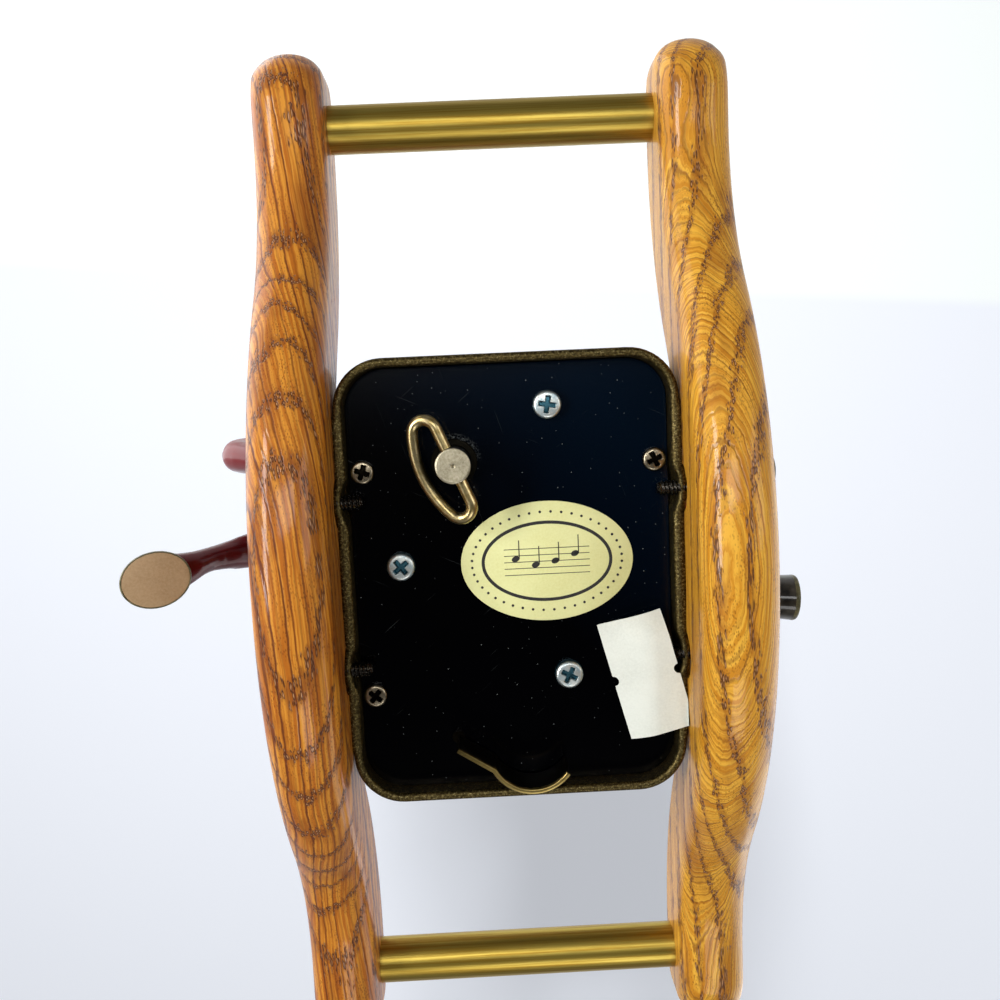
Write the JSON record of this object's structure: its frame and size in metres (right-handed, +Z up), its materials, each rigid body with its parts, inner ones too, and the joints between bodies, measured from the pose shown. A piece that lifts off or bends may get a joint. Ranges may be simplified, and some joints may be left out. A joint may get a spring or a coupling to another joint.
{
  "type": "music box",
  "caption": "Wind-up music box: a metal-cased comb movement hung between curved oak rockers joined by brass rods, wound by a folding key below, with a glazed horse on a post.",
  "frame": {"origin": "on the ground midway between the rockers, below the middle of their belly arcs", "axes": "+Z up in use, +Y along the rockers, +X across them; the key is on the underside"},
  "size_m": [0.15, 0.206, 0.1658],
  "materials": {
    "oak": "glossy varnish over open-pored oak",
    "rod_brass": "satin, drawn rod",
    "bronze_case": "antique bronze, speckled",
    "screw_steel": "turned, bright",
    "black_cover": "gloss black lacquer, scratched and dusty",
    "screw_bronze": "dark bronze",
    "screw_zinc": "bright zinc plate",
    "label_paper": "matte cream paper, printed line",
    "sticker_paper": "matte white price-gun paper",
    "hub_nickel": "turned, nickel over brass",
    "bail_brass": "drawn wire, worn",
    "arbor_steel": "ground",
    "lever_brass": "rolled strip",
    "bed_nickel": "nickel plate",
    "gear_brass": "cut and polished",
    "spring_steel": "blued",
    "comb_iron": "cast, machined top",
    "comb_steel": "ground",
    "horse_glaze": "gloss dark red glaze"
  },
  "bodies": {
    "base": {"rail_left": "oak", "rail_right": "oak", "rod_front": "rod_brass", "rod_rear": "rod_brass", "case_shell": "bronze_case", "case_screws": "screw_steel", "cover_plate": "black_cover", "cover_screws": "screw_bronze", "movement_screws": "screw_zinc", "label_oval": "label_paper", "price_sticker": "sticker_paper", "bedplate": "bed_nickel", "barrel_bridge": "bed_nickel", "click_pawl": "arbor_steel", "bearing_front": "bed_nickel", "bearing_rear": "bed_nickel", "frame_screws": "screw_steel", "comb_base": "comb_iron", "tone_comb": "comb_steel", "comb_screws": "screw_steel", "governor_plate": "bed_nickel", "figure_post": "rod_brass", "post_collar": "rod_brass", "post_nut": "screw_steel", "horse_figure": "horse_glaze"},
    "key": {"key_hub": "hub_nickel", "winding_arbor": "arbor_steel", "ratchet_wheel": "arbor_steel"},
    "bail": {"key_bail": "bail_brass"},
    "barrel": {"spring_barrel": "gear_brass", "barrel_lid": "gear_brass", "mainspring": "spring_steel"},
    "cylinder": {"cylinder_axle": "arbor_steel", "pin_drum": "gear_brass", "drum_pins": "spring_steel", "drive_pinion": "gear_brass", "cylinder_wheel": "gear_brass"},
    "train": {"train_wheel": "gear_brass"},
    "fly": {"governor_fly": "gear_brass"},
    "lever": {"stop_lever": "lever_brass"}
  },
  "joints": [
    {"name": "key_wind", "type": "hinge", "parent": "base", "child": "key", "pos_m": [-0.0102, -0.0226, 0.0145], "axis": [0, 0, 1], "continuous": true},
    {"name": "key_fold", "type": "hinge", "parent": "key", "child": "bail", "pos_m": [-0.0102, -0.0226, 0.0145], "axis": [0.3875, 0.9219, 0], "range_deg": [-242, 22]},
    {"name": "barrel_turn", "type": "hinge", "parent": "base", "child": "barrel", "pos_m": [-0.0102, -0.0226, 0.0312], "axis": [0, 0, 1], "continuous": true},
    {"name": "cylinder_turn", "type": "hinge", "parent": "base", "child": "cylinder", "pos_m": [-0.0102, 0.0032, 0.0359], "axis": [0, 1, 0], "continuous": true},
    {"name": "train_turn", "type": "hinge", "parent": "base", "child": "train", "pos_m": [-0.00158, 0.0164, 0.0385], "axis": [0, 1, 0], "continuous": true},
    {"name": "fly_turn", "type": "hinge", "parent": "base", "child": "fly", "pos_m": [0.00573, 0.0218, 0.0358], "axis": [0, 1, 0], "continuous": true},
    {"name": "lever_swing", "type": "hinge", "parent": "base", "child": "lever", "pos_m": [-0.012, 0.031, 0.02], "axis": [0, 0, -1], "range_deg": [0, 12]}
  ],
  "couplings": [
    {"joint": "cylinder_turn", "follows": "barrel_turn", "ratio": 2},
    {"joint": "train_turn", "follows": "barrel_turn", "ratio": -8},
    {"joint": "fly_turn", "follows": "barrel_turn", "ratio": 26.667}
  ]
}
